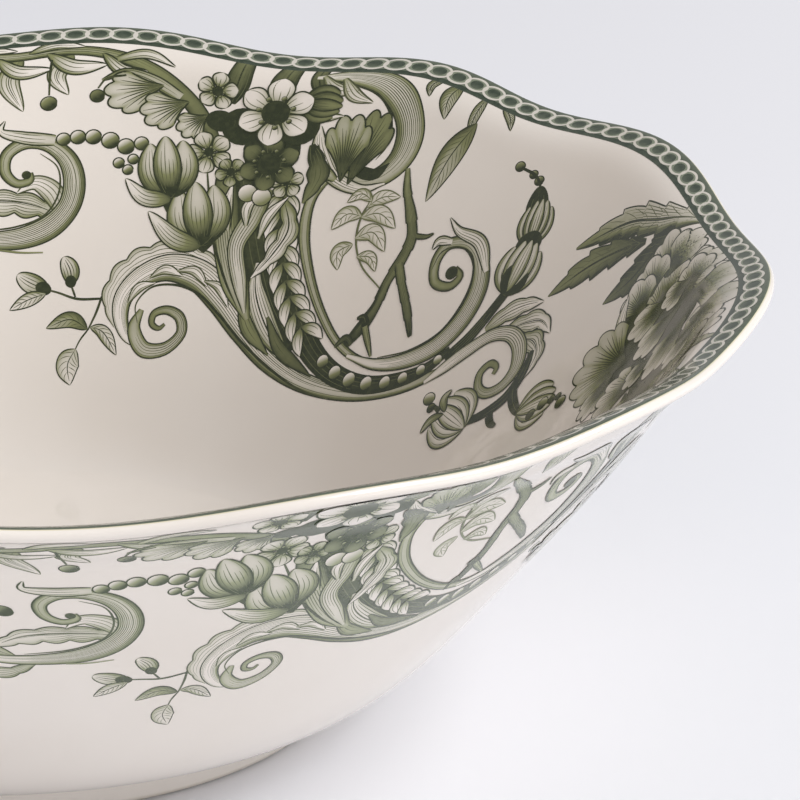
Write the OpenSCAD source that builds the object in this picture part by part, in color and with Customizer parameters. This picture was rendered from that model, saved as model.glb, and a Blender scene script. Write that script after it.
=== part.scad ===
// Porcelain serving bowl. A flared wall ends in a softly lobed rim and stands on a
// round foot ring. Thin fired-on transfers lie on the rim and on both faces of the wall.
// Millimetres, +Z up, origin at the middle of the plane that the foot rests on.

/* [Bowl] */
// Mean radius of the rim
rim_r = 120; // [108:1:132]
// Height of the rim above the table
bowl_h = 72; // [65:1:79]
// Thickness of the lip
lip_t = 2; // [1.6:0.1:3]
// Thickness of the floor
floor_t = 5; // [4:0.1:6]
// Extra thickness under the flare, which leaves the outside less hollow than the inside
flare_fill = 1.2; // [0:0.1:1.6]

/* [Lobes] */
// Number of lobes round the rim
lobes = 12; // [9:3:15]
// How far a crest stands out from the mean radius
lobe_depth = 1.15; // [0.4:0.05:2]
// How far a crest rises above the mean height
lobe_rise = 1.05; // [0.4:0.05:2]
// Distance down the wall over which the lobes fade out
lobe_fade = 45; // [30:1:60]

/* [Foot ring] */
// Outer radius of the foot ring where it meets the bowl
foot_r = 56; // [52:0.5:56]
// Width of the foot ring where it meets the bowl
foot_w = 5.5; // [4.5:0.5:7]
// Rounding of the edges that meet the table
foot_round = 1; // [0.5:0.1:1.2]

/* [Transfers] */
// Thickness of a fired transfer
print_t = 0.2; // [0.1:0.05:0.3]

/* [Hidden] */
porcelain = "ivory";
bisque = "linen";
ink = "darkolivegreen";
columns = lobes * 8;
// Number of times the scroll design repeats round the wall
repeats = 3;

// The middle line of the wall's section at the nominal size, as three joined curves
flare_curve = [[118.9, 71], [112.3, 68.75], [112, 66.9], [109.5, 63.2]];
wall_curve = [[109.5, 63.2], [104.5, 55.8], [95.5, 43.8], [87, 33.6]];
bend_curve = [[87, 33.6], [73.6, 17.5], [67, 8.5], [57, 8.5]];
flare_steps = 6;
wall_steps = 6;
bend_steps = 7;

// A point on a cubic curve, scaled to the size of this bowl
function curve_point(c, t) =
    let (p = pow(1 - t, 3) * c[0] + 3 * t * pow(1 - t, 2) * c[1]
        + 3 * t * t * (1 - t) * c[2] + t * t * t * c[3])
    [p[0] * rim_r / 120, p[1] * bowl_h / 72];

section = [
    for (i = [0:flare_steps - 1]) curve_point(flare_curve, i / flare_steps),
    for (i = [0:wall_steps - 1]) curve_point(wall_curve, i / wall_steps),
    for (i = [0:bend_steps]) curve_point(bend_curve, i / bend_steps)];
rows = len(section);
last = rows - 1;

// How far down the wall each row of the section lies from the rim
function run_to(i) = i == 0 ? 0 : run_to(i - 1) + norm(section[i] - section[i - 1]);
run = [for (i = [0:last]) run_to(i)];

// The section's direction and its outward normal at a row; the floor end lies level
function heading(i) =
    i == last ? [-1, 0] :
    let (d = section[i + 1] - section[max(i - 1, 0)]) d / norm(d);
function outward(i) = [-heading(i)[1], heading(i)[0]];

// The wall thickens from the lip to the floor
function wall_t(i) = lip_t + (floor_t - lip_t) * pow(run[i] / run[last], 0.7);

// The fill under the flare, at its thickest half-way between the lip and the wall
function fill_t(i) = flare_fill * pow(sin(180 * min(run[i] / 14, 1)), 2);

// The rim's wave: regular lobes with a slow four-fold sway, as hand-fettled ware has
function wave(a) = cos(lobes * a + 25 * sin(4 * (a - 58))) + 0.4 * cos(4 * (a - 51));
function fade(i) = pow(max(0, 1 - run[i] / lobe_fade), 1.5);

// Turns a section point into a point of the bowl at one column
function turned(p, f, j) =
    let (a = 360 * j / columns, w = f * wave(a))
    [(p[0] + lobe_depth * w) * cos(a), (p[0] + lobe_depth * w) * sin(a), p[1] + lobe_rise * w];

// A point on a face of the wall; side is 1 outside and -1 inside, and lift stands off it
function face_point(side, i, j, lift) =
    let (depth = wall_t(i) / 2 + (side > 0 ? fill_t(i) : 0) + lift)
    turned(section[i] + side * depth * outward(i), fade(i), j);

// A point on the rounded lip, swung from the outer face over the edge to the inner one
function lip_point(swing, j) =
    turned(section[0] + lip_t / 2 * (cos(swing) * outward(0) - sin(swing) * heading(0)), 1, j);

// Two triangles for each cell between neighbouring rings of points
function band(rings, n, closed) = [
    for (k = [0:rings - 2]) for (j = [0:(closed ? n - 1 : n - 2)])
        let (a = k * n + j, b = k * n + (j + 1) % n, c = a + n, d = b + n)
        each [[a, b, c], [b, d, c]]];
function flipped(faces, base) = [for (f = faces) [f[2] + base, f[1] + base, f[0] + base]];

module bowl_body() {
    swings = [45, 90, 135];
    rings = 2 * rows + len(swings);
    points = [
        for (i = [last:-1:0]) for (j = [0:columns - 1]) face_point(1, i, j, 0),
        for (s = swings) for (j = [0:columns - 1]) lip_point(s, j),
        for (i = [0:last]) for (j = [0:columns - 1]) face_point(-1, i, j, 0)];
    top = (rings - 1) * columns;
    underside = [for (j = [0:columns - 1]) j];
    well = [for (j = [columns - 1:-1:0]) top + j];
    color(porcelain)
        polyhedron(points, concat(flipped(band(rings, columns, true), 0), [underside, well]));
}

module foot_ring() {
    top_z = section[last][1] - floor_t / 2;
    lean = 0.6;
    outer = foot_r - lean;
    inner = foot_r - foot_w + lean;
    color(bisque)
        rotate_extrude($fn = 180)
            polygon([
                [foot_r - foot_w, top_z],
                [foot_r, top_z],
                for (a = [0:15:90])
                    [outer - foot_round + foot_round * cos(a), foot_round - foot_round * sin(a)],
                for (a = [90:15:180])
                    [inner + foot_round + foot_round * cos(a), foot_round - foot_round * sin(a)]]);
}

// A thin sheet laid on one face of the wall between two rows and two columns
module sheet(side, row_a, row_b, col_a, col_b) {
    closed = col_b - col_a == columns;
    n = closed ? columns : col_b - col_a + 1;
    rings = row_b - row_a + 1;
    base = rings * n;
    points = [
        for (lift = [0, print_t]) for (i = [row_a:row_b]) for (j = [col_a:col_a + n - 1])
            face_point(side, i, j, lift)];
    under = band(rings, n, closed);
    over = flipped(under, base);
    edge_a = [for (j = [0:(closed ? n - 1 : n - 2)]) let (b = (j + 1) % n)
        each [[b, j, base + j], [b, base + j, base + b]]];
    edge_b = [for (j = [0:(closed ? n - 1 : n - 2)]) let (b = (j + 1) % n, r = (rings - 1) * n)
        each [[r + j, r + b, base + r + b], [r + j, base + r + b, base + r + j]]];
    side_a = closed ? [] : [for (k = [0:rings - 2]) let (a = k * n, b = a + n)
        each [[a, b, base + b], [a, base + b, base + a]]];
    side_b = closed ? [] : [for (k = [0:rings - 2]) let (a = k * n + n - 1, b = a + n)
        each [[b, a, base + a], [b, base + a, base + b]]];
    faces = concat(under, over, edge_a, edge_b, side_a, side_b);
    polyhedron(points, side > 0 ? faces : flipped(faces, 0));
}

module rim_border() {
    color(ink) sheet(-1, 0, 3, 0, columns);
}

// One repeat of the scroll design: a third of the wall, less a gap of one column
module scroll(side, index) {
    step = columns / repeats;
    color(ink) sheet(side, 4, 14, index * step, (index + 1) * step - 1);
}

bowl_body();
foot_ring();
rim_border();
scroll(-1, 0);  // inner_scroll_1
scroll(-1, 1);  // inner_scroll_2
scroll(-1, 2);  // inner_scroll_3
scroll(1, 0);  // outer_scroll_1
scroll(1, 1);  // outer_scroll_2
scroll(1, 2);  // outer_scroll_3
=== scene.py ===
import math

import bpy
import numpy as np
from mathutils import Matrix, Vector


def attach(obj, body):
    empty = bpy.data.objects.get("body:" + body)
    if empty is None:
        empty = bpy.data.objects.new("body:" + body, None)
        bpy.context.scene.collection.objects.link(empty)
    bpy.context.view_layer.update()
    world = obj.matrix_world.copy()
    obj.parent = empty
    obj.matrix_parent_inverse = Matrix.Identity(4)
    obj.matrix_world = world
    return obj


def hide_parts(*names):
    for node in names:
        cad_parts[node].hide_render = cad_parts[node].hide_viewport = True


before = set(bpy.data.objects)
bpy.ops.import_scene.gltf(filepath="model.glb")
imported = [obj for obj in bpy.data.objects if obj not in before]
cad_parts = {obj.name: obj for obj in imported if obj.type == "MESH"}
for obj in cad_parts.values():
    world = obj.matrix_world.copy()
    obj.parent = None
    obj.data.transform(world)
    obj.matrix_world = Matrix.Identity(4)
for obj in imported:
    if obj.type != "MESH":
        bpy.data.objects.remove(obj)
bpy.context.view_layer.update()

# The camera stands in front of the bowl and a little above its rim, with a long lens.
# It looks past the middle of the bowl to the right, so the left side is outside the view.
looks_along, looks_down = math.radians(99.5), math.radians(18.3)
stand_off, lens_length, sees_to = 0.757, 220, 20
aim_right, aim_height, tilt = 0.0638, 0.0452, math.radians(1.26)
rim_middle = Vector((0, 0, 0.072))

ahead = Vector((math.cos(looks_along), math.sin(looks_along), 0))
right = Vector((math.sin(looks_along), -math.cos(looks_along), 0))
camera = bpy.data.objects.new("camera", bpy.data.cameras.new("camera"))
camera.data.lens = lens_length
camera.data.clip_end = sees_to
camera.location = (rim_middle - ahead * stand_off * math.cos(looks_down)
                   + Vector((0, 0, stand_off * math.sin(looks_down))))
aim = right * aim_right + Vector((0, 0, aim_height))
facing = (aim - camera.location).to_track_quat("-Z", "Y").to_matrix()
camera.rotation_euler = (facing @ Matrix.Rotation(tilt, 3, "Z")).to_euler()
bpy.context.collection.objects.link(camera)
bpy.context.scene.camera = camera
bpy.context.scene.view_settings.view_transform = "Standard"

# The bowl stands on a matt pale sheet that fills the view, in soft daylight: a wide window to
# the right and above, a low one in front, a faint warm wall at the left, and a pale room.
sheet_reach = 3
sheet_corners = [(x * sheet_reach, y * sheet_reach, 0)
                 for x, y in ((-1, -1), (1, -1), (1, 1), (-1, 1))]
floor = bpy.data.objects.new("floor", bpy.data.meshes.new("floor"))
floor.data.from_pydata(sheet_corners, [], [(0, 1, 2, 3)])
bpy.context.collection.objects.link(floor)
paper = bpy.data.materials.new("pale_paper")
paper.use_nodes = True
paper_shader = paper.node_tree.nodes["Principled BSDF"]
paper_shader.inputs["Base Color"].default_value = (0.79, 0.793, 0.825, 1)
paper_shader.inputs["Roughness"].default_value = 0.7
floor.data.materials.append(paper)

room = bpy.data.worlds.new("pale_room")
room.use_nodes = True
room_light = room.node_tree.nodes["Background"]
room_light.inputs["Color"].default_value = (0.97, 0.96, 0.97, 1)
room_light.inputs["Strength"].default_value = 0.46
bpy.context.scene.world = room
bowl_middle = Vector((0, 0, 0.04))


def window(name, place, size, power, colour):
    """A soft area light that faces the bowl's middle."""
    lamp = bpy.data.lights.new(name, "AREA")
    lamp.shape = "RECTANGLE"
    lamp.size, lamp.size_y = size
    lamp.energy = power
    lamp.color = colour
    holder = bpy.data.objects.new(name, lamp)
    holder.location = place
    holder.rotation_euler = (bowl_middle - place).to_track_quat("-Z", "Y").to_euler()
    bpy.context.collection.objects.link(holder)
    return holder


window("window_right", place=right * 1.5 - ahead * 0.3 + Vector((0, 0, 1.4)), size=(1.5, 1.1),
       power=39, colour=(0.97, 0.98, 1.0))
window("window_front", place=-ahead * 2.5 - right * 0.8 + Vector((0, 0, 0.42)), size=(2.0, 0.65),
       power=19, colour=(0.95, 0.97, 1.0))
warm_wall = window("warm_wall_left", place=-right * 1.3 + ahead * 0.1 + Vector((0, 0, 0.75)),
                   size=(1.0, 1.0), power=1.1, colour=(1.0, 0.6, 0.3))
warm_wall.visible_glossy = False  # its warmth reaches the clay, but the glaze doesn't mirror it

# The bowl's body is one piece of white porcelain, pressed over a lobed mould. The section's
# middle line runs from the lip, over the flared rim, down the wall and round to the floor.
# All of the bowl's own sizes are in millimetres, and its rim waves with every lobe.
MM = 0.001
section_curves = (((118.9, 71), (112.3, 68.75), (112, 66.9), (109.5, 63.2)),
                  ((109.5, 63.2), (104.5, 55.8), (95.5, 43.8), (87, 33.6)),
                  ((87, 33.6), (73.6, 17.5), (67, 8.5), (57, 8.5)))
lip_t, floor_t, thickens = 2.0, 5, 0.7
flare_fill, flare_length = 1.2, 14
lobes, lobe_depth, lobe_rise = 12, 1.15, 1.05
lobe_fade, fade_curve = 45, 1.5
sways, sway_share, sway_phase = 4, 0.4, math.radians(204)
lobe_drift, drift_phase = math.radians(25), math.radians(232)


def on_cubic(ends, t):
    """Points on a cubic curve at each t from 0 to 1."""
    a, b, c, d = (np.array(p, float) for p in ends)
    t = np.asarray(t, float)[:, None]
    return (1 - t) ** 3 * a + 3 * t * (1 - t) ** 2 * b + 3 * t * t * (1 - t) * c + t ** 3 * d


curve_steps = np.linspace(0, 1, 121)
middle = np.vstack([on_cubic(c, curve_steps)[(i > 0):] for i, c in enumerate(section_curves)])
down_wall = np.concatenate([[0], np.cumsum(np.linalg.norm(np.diff(middle, axis=0), axis=1))])
heading = np.gradient(middle, axis=0)
heading /= np.linalg.norm(heading, axis=1)[:, None]
wall_length = down_wall[-1]


def along(table, run):
    """Reads a column of numbers kept for each point of the section at a run down the wall."""
    return np.interp(run, down_wall, table)


def wall(side, run, turn, lift=0.0):
    """Points on the wall: side 1 outside or -1 inside, run down from the lip, turn in radians.

    A run below 0 goes over the rounded lip, towards its edge."""
    run, turn = np.broadcast_arrays(np.asarray(run, float), np.asarray(turn, float))
    flat = np.maximum(run, 0)
    hx, hz = along(heading[:, 0], flat), along(heading[:, 1], flat)
    half = (lip_t + (floor_t - lip_t) * (flat / wall_length) ** thickens) / 2
    if side == 1:
        half = half + flare_fill * np.sin(math.pi * np.minimum(flat / flare_length, 1)) ** 2
    over = np.minimum(-np.minimum(run, 0) / (lip_t / 2), math.pi / 2)
    reach = half + lift
    out_x = side * -hz * np.cos(over) - hx * np.sin(over)
    out_z = side * hx * np.cos(over) - hz * np.sin(over)
    fade = np.maximum(0, 1 - flat / lobe_fade) ** fade_curve
    wave = fade * (np.cos(lobes * turn + lobe_drift * np.sin(sways * turn - drift_phase))
                   + sway_share * np.cos(sways * turn - sway_phase))
    r = along(middle[:, 0], flat) + reach * out_x + lobe_depth * wave
    z = along(middle[:, 1], flat) + reach * out_z + lobe_rise * wave
    return np.stack([r * np.cos(turn), r * np.sin(turn), z], axis=-1)


def wall_normal(side, run, turn):
    """The unit normal of the wall's face, out of the porcelain."""
    near = 0.04
    near_turn = near / 100
    down = wall(side, run + near, turn) - wall(side, run - near, turn)
    across = wall(side, run, turn + near_turn) - wall(side, run, turn - near_turn)
    n = np.cross(down, across) * side
    return n / np.maximum(np.linalg.norm(n, axis=-1, keepdims=True), 1e-12)


def make_piece(name, points_mm, faces, material, tones, normals=None):
    """A smooth mesh object from points in millimetres, with a tone kept at each point."""
    points = np.asarray(points_mm, float).reshape(-1, 3) * MM
    mesh = bpy.data.meshes.new(name)
    mesh.from_pydata(points.tolist(), [], faces if isinstance(faces, list) else faces.tolist())
    mesh.polygons.foreach_set("use_smooth", [True] * len(mesh.polygons))
    tone = mesh.color_attributes.new(name="tone", type="FLOAT_COLOR", domain="POINT")
    tone.data.foreach_set("color", np.repeat(np.ravel(tones), 4).astype(np.float32))
    if normals is not None:
        mesh.normals_split_custom_set_from_vertices(np.reshape(normals, (-1, 3)).tolist())
    mesh.materials.append(material)
    piece = bpy.data.objects.new(name, mesh)
    bpy.context.collection.objects.link(piece)
    return piece


def ring_faces(rings, n):
    """Quads between closed rings of n points each."""
    return [(k * n + j, k * n + (j + 1) % n, (k + 1) * n + (j + 1) % n, (k + 1) * n + j)
            for k in range(rings - 1) for j in range(n)]


def node_group(name, inputs, outputs):
    """A new shader node group, with the sockets to read its inputs and to set its outputs."""
    group = bpy.data.node_groups.new(name, "ShaderNodeTree")
    for label, usual in inputs:
        kind = "NodeSocketColor" if isinstance(usual, tuple) else "NodeSocketFloat"
        socket = group.interface.new_socket(label, in_out="INPUT", socket_type=kind)
        socket.default_value = usual + (1,) if isinstance(usual, tuple) else usual
    for label, kind in outputs:
        group.interface.new_socket(label, in_out="OUTPUT", socket_type=kind)
    given, result = group.nodes.new("NodeGroupInput"), group.nodes.new("NodeGroupOutput")
    return group, given.outputs, result.inputs


def placed(tree, group):
    """One use of a node group in a material."""
    node = tree.nodes.new("ShaderNodeGroup")
    node.node_tree = group
    return node


def noise(tree, scale, detail=2.0):
    """Noise over the object, its scale a socket in cycles a metre."""
    place = tree.nodes.new("ShaderNodeTexCoord")
    cloud = tree.nodes.new("ShaderNodeTexNoise")
    cloud.inputs["Detail"].default_value = detail
    tree.links.new(scale, cloud.inputs["Scale"])
    tree.links.new(place.outputs["Object"], cloud.inputs["Vector"])
    return cloud.outputs["Fac"]


def blend(tree, share, first, second):
    """Mixes two colours, each a socket or a plain colour, by a socket from 0 to 1."""
    mix = tree.nodes.new("ShaderNodeMix")
    mix.data_type = "RGBA"
    first_colour, second_colour, mixed = mix.inputs[6], mix.inputs[7], mix.outputs[2]
    tree.links.new(share, mix.inputs["Factor"])
    for value, socket in ((first, first_colour), (second, second_colour)):
        if isinstance(value, tuple):
            socket.default_value = value + (1,)
        else:
            tree.links.new(value, socket)
    return mixed


def rescale(tree, value, low, high, to_low, to_high):
    """Stretches a value from one range to another and holds it there."""
    node = tree.nodes.new("ShaderNodeMapRange")
    node.inputs["From Min"].default_value, node.inputs["From Max"].default_value = low, high
    node.inputs["To Min"].default_value, node.inputs["To Max"].default_value = to_low, to_high
    tree.links.new(value, node.inputs["Value"])
    return node.outputs["Result"]


def kept_tone(tree):
    """The tone kept at each point of the mesh."""
    tone = tree.nodes.new("ShaderNodeAttribute")
    tone.attribute_name = "tone"
    return tone.outputs["Fac"]


# The clay fires to a warm white that drifts a little from place to place, and the glaze
# over it pools and ripples slightly. Both are shared by the bare and the printed porcelain.
clay_white, given, result = node_group(
    "clay_white", [("Drift Scale", 28.0), ("Warmer", (0.78, 0.715, 0.645)),
                   ("Paler", (0.81, 0.75, 0.685))],
    [("Color", "NodeSocketColor")])
drift = rescale(clay_white, noise(clay_white, given["Drift Scale"]), 0.35, 0.65, 0, 1)
clay_white.links.new(blend(clay_white, drift, given["Warmer"], given["Paler"]), result["Color"])

glaze_coat, given, result = node_group(
    "glaze_coat", [("Pooling Scale", 60.0), ("Ripple Scale", 90.0)],
    [("Roughness", "NodeSocketFloat"), ("Height", "NodeSocketFloat")])
pooling = noise(glaze_coat, given["Pooling Scale"])
glaze_coat.links.new(rescale(glaze_coat, pooling, 0.3, 0.7, 0.06, 0.1), result["Roughness"])
glaze_coat.links.new(noise(glaze_coat, given["Ripple Scale"], detail=1), result["Height"])


def glazed(name):
    """A material under the clear glaze; its colour is for the caller to set."""
    material = bpy.data.materials.new(name)
    material.use_nodes = True
    tree = material.node_tree
    shader = tree.nodes["Principled BSDF"]
    shader.inputs["IOR"].default_value = 1.58
    coat = placed(tree, glaze_coat)
    ripple = tree.nodes.new("ShaderNodeBump")
    ripple.inputs["Strength"].default_value = 0.05
    ripple.inputs["Distance"].default_value = MM
    tree.links.new(coat.outputs["Height"], ripple.inputs["Height"])
    tree.links.new(ripple.outputs["Normal"], shader.inputs["Normal"])
    tree.links.new(coat.outputs["Roughness"], shader.inputs["Roughness"])
    return material, tree, shader, placed(tree, clay_white).outputs["Color"]


def bared(name, colour):
    """Glazed clay that turns to another colour where the tone kept in the mesh is high."""
    material, tree, shader, white = glazed(name)
    tree.links.new(blend(tree, kept_tone(tree), white, colour), shader.inputs["Base Color"])
    return material


porcelain = bared("glazed_porcelain", (0.66, 0.61, 0.38))

columns = 480
turns = np.arange(columns) * 2 * math.pi / columns
run_stops = np.concatenate([np.linspace(0, flare_length, 36), np.linspace(14.8, wall_length, 60)])
lip_stops = np.linspace(0, lip_t / 2 * math.pi / 2, 8)[1:]
base_r, hub_r = 57, 9
base_z, well_z = middle[-1][1] - floor_t / 2, middle[-1][1] + floor_t / 2
floor_stops = np.linspace(base_r, hub_r, 25)[1:]


def flat_ring(r, z):
    return np.stack([r * np.cos(turns), r * np.sin(turns), np.full(columns, z)], axis=-1)


body_rings = ([flat_ring(r, base_z) for r in floor_stops[::-1]]
              + [wall(1, run, turns) for run in run_stops[::-1]]
              + [wall(1, -run, turns) for run in lip_stops]
              + [wall(-1, -run, turns) for run in lip_stops[-2::-1]]
              + [wall(-1, run, turns) for run in run_stops]
              + [flat_ring(r, well_z) for r in floor_stops])
body_faces = ring_faces(len(body_rings), columns)
body_faces.append(tuple(range(columns))[::-1])
body_faces.append(tuple((len(body_rings) - 1) * columns + j for j in range(columns)))
# the glaze runs thin and creamy along the top of the lip, just above the border
creamy_ring = len(floor_stops) + len(run_stops) + 10
cream = np.zeros((len(body_rings), columns))
cream[creamy_ring] = 0.8
bowl = make_piece("bowl_body_glazed", np.vstack(body_rings), body_faces, porcelain, cream)
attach(bowl, "root")
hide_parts("bowl_body")

# The foot ring is turned from the same clay and luted on. Its sides are glazed, and the edge
# that meets the table is wiped bare so that it doesn't stick in the kiln.
foot_profile = [(48.4, 6.05, 0), (49.6, 5.7, 0), (50.4, 4.8, 0), (50.8, 3.4, 0), (51.1, 1.2, 0),
                (51.4, 0.5, 0.8), (52.1, 0.0, 1), (54.4, 0.0, 1), (55.1, 0.5, 0.8),
                (55.4, 1.2, 0), (55.7, 3.4, 0), (56.2, 4.8, 0), (57.0, 5.8, 0), (58.4, 6.25, 0)]
foot_points = [flat_ring(r, z) for r, z, wiped in foot_profile]
bare = np.repeat([float(wiped) for r, z, wiped in foot_profile], columns)
foot_clay = bared("foot_clay", (0.62, 0.56, 0.47))
foot_faces = ring_faces(len(foot_profile), columns)
foot = make_piece("foot_ring_turned", np.vstack(foot_points), foot_faces, foot_clay, bare)
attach(foot, "root")
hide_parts("foot_ring")

# The rim border is a dark green transfer, laid as one band from over the lip on to the flare. A
# chain of pale rings that overlap runs along it, above a solid strip at its inner edge. The ink
# is fired on under the glaze.
border_r, band_columns, band_lift = 117.4, 1440, 0.03
ring_count, ring_run, ring_points, ring_step = 172, 1.76, 32, 0.006
# of a ring's two parts, the outer and inner half width and height, the tone and the lift
ring_parts = (((2.25, 1.5), (1.4, 0.95), 0.62, 0.04), ((2.62, 1.62), (2.15, 1.2), 0.15, 0.05))

fired_ink, given, result = node_group(
    "fired_ink", [("Tone", 0.0), ("Grain Scale", 900.0), ("Clay", (0.8, 0.8, 0.8)),
                  ("Thin", (0.3, 0.3, 0.2)), ("Deep", (0.02, 0.03, 0.01))],
    [("Color", "NodeSocketColor")])
patchy = fired_ink.nodes.new("ShaderNodeMath")
patchy.operation = "MULTIPLY"
grain = rescale(fired_ink, noise(fired_ink, given["Grain Scale"]), 0.3, 0.7, 0.96, 1.03)
fired_ink.links.new(given["Tone"], patchy.inputs[0])
fired_ink.links.new(grain, patchy.inputs[1])
to_thin = rescale(fired_ink, patchy.outputs[0], 0, 0.5, 0, 1)
to_deep = rescale(fired_ink, patchy.outputs[0], 0.5, 1, 0, 1)
thin_wash = blend(fired_ink, to_thin, given["Clay"], given["Thin"])
fired_ink.links.new(blend(fired_ink, to_deep, thin_wash, given["Deep"]), result["Color"])


def inked(name, deep, thin):
    """Fired-on ink under the glaze: its tone runs from bare clay through thin to deep colour."""
    material, tree, shader, white = glazed(name)
    ink = placed(tree, fired_ink)
    ink.inputs["Deep"].default_value = deep + (1,)
    ink.inputs["Thin"].default_value = thin + (1,)
    tree.links.new(white, ink.inputs["Clay"])
    tree.links.new(kept_tone(tree), ink.inputs["Tone"])
    tree.links.new(ink.outputs["Color"], shader.inputs["Base Color"])
    return material


border_ink = inked("border_ink", deep=(0.017, 0.034, 0.016), thin=(0.24, 0.27, 0.19))
band_turns = np.arange(band_columns) * 2 * math.pi / band_columns
band_runs = np.array([-0.62, -0.5, -0.35, -0.15, 0, 0.4, 0.8, 1.2, 1.6, 2.0, 2.4, 2.8, 3.1, 3.2,
                      3.6, 3.95, 4.1])
tone_stops = ((-0.62, 0.8), (-0.3, 0.9), (0, 0.85), (1.4, 1.0), (2.8, 0.85), (3.1, 0.7), (3.2, 1.0),
              (4.1, 0.95))
band_tones = np.interp(band_runs, *zip(*tone_stops))
run_grid, turn_grid = np.meshgrid(band_runs, band_turns, indexing="ij")
band = make_piece("rim_border_band", wall(-1, run_grid, turn_grid, band_lift),
                  ring_faces(len(band_runs), band_columns), border_ink,
                  np.repeat(band_tones, band_columns), wall_normal(-1, run_grid, turn_grid))
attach(band, "root")
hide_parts("rim_border")

loop_at = np.arange(ring_points) * 2 * math.pi / ring_points
chain_points, chain_normals, chain_tones, chain_faces = [], [], [], []
for k in range(ring_count):
    for outer, inner, tone, lift in ring_parts:
        start = ring_points * len(chain_points)
        for wide, tall in (outer, inner):
            run = ring_run + tall * np.sin(loop_at)
            turn = 2 * math.pi * k / ring_count + wide * np.cos(loop_at) / border_r
            chain_points.append(wall(-1, run, turn, lift + ring_step * (k % 2)))
            chain_normals.append(wall_normal(-1, run, turn))
            chain_tones.append(np.full(ring_points, tone))
        chain_faces += [(start + a, start + b, start + ring_points + b, start + ring_points + a)
                        for a, b in zip(range(ring_points), [*range(1, ring_points), 0])]
chain = make_piece("rim_border_rings", np.vstack(chain_points), chain_faces, border_ink,
                   np.concatenate(chain_tones), np.vstack(chain_normals))
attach(chain, "root")

# The scroll design is printed on tissue from an engraved plate and rubbed on to the wall in
# three repeats. Each shape is a wash of colour with engraved outlines and hatching over it.
# The design is drawn flat: degrees round the bowl to the right, millimetres down the wall.
degree_mm, repeat_degrees = 1.66, 120
repeat_mm = repeat_degrees * degree_mm
map_rows, map_above = 90, 5
wash_gain, wash_drop = 1.4, 0.08
fine_width, fine_tone = 0.17, 0.85
painted, stroked = [], []
taken = np.zeros((int(repeat_mm) + 1, map_rows), int)
dice = np.random.default_rng(7)


def at(*numbers):
    """Points of the design, from pairs of degrees round the bowl and millimetres down its wall."""
    return np.reshape(np.array(numbers, float), (-1, 2)) * (degree_mm, 1)


def hermite(p, slope, gap, k, f):
    """Reads a cubic between knots k and k + 1 at a share f of the way."""
    return ((2 * f ** 3 - 3 * f * f + 1) * p[k] + (f ** 3 - 2 * f * f + f) * gap * slope[k]
            + (3 * f * f - 2 * f ** 3) * p[k + 1] + (f ** 3 - f * f) * gap * slope[k + 1])


def length_along(points):
    """The distance along a line to each of its points."""
    return np.concatenate([[0], np.cumsum(np.linalg.norm(np.diff(points, axis=0), axis=1))])


def direction(points):
    """The unit direction of a line at each of its points."""
    t = np.gradient(points, axis=0)
    return t / np.maximum(np.linalg.norm(t, axis=1), 1e-9)[:, None]


def smooth(points, step=0.4):
    """Even points along a curve through the given ones."""
    p = np.asarray(points, float)
    t = np.concatenate([[0], np.cumsum(np.sqrt(np.linalg.norm(np.diff(p, axis=0), axis=1)) + 1e-6)])
    fine = np.linspace(0, t[-1], 30 * len(p))
    k = np.clip(np.searchsorted(t, fine, side="right") - 1, 0, len(p) - 2)
    gap = (t[k + 1] - t[k])[:, None]
    c = hermite(p, np.gradient(p, t, axis=0), gap, k, (fine - t[k])[:, None] / gap)
    run = length_along(c)
    even = np.linspace(0, run[-1], max(4, int(run[-1] / step) + 2))
    return np.stack([np.interp(even, run, c[:, 0]), np.interp(even, run, c[:, 1])], 1)


def spread(values, u):
    """A smooth change between a few values, read at shares u of the way."""
    if callable(values):
        return values(u)
    v = np.atleast_1d(np.asarray(values, float))
    if len(v) == 1:
        return np.full(np.shape(u), v[0])
    k = np.clip((u * (len(v) - 1)).astype(int), 0, len(v) - 2)
    return np.maximum(0, hermite(v, np.gradient(v), 1, k, u * (len(v) - 1) - k))


def oval(width, lean=1.0, fat=0.7):
    """A half-width that swells from nothing and closes again; lean above 1 swells late."""
    return lambda u: width * np.sin(np.pi * np.clip(u, 0, 1) ** lean) ** fat


def settle(points):
    """Finds the layer a new shape takes, one above all that it covers, and takes it."""
    x = (points[..., 0] % repeat_mm).astype(int)
    y = np.clip(points[..., 1] + map_above, 0, map_rows - 1).astype(int)
    layer = taken[x, y].max() + 1
    taken[x, y] = layer
    return layer


def paint(points, tones, layer):
    """A wash of colour over a grid of points."""
    tones = np.clip(np.broadcast_to(tones, points.shape[:2]) * wash_gain - wash_drop, 0, 1)
    painted.append((points, tones, layer))


def stroke(points, width=0.16, tone=0.85, layer=None, ends=0.25):
    """An engraved line that thins and pales towards its ends."""
    points = np.asarray(points, float)
    u = np.linspace(0, 1, len(points))
    if layer is None:
        layer = settle(points) - 0.5
    swell = np.clip(np.minimum(u, 1 - u) / ends, 0, 1) ** 0.6 * 0.8 + 0.2
    stroked.append((points, width / 2 * swell, tone * (0.75 + 0.25 * swell), layer))


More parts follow.
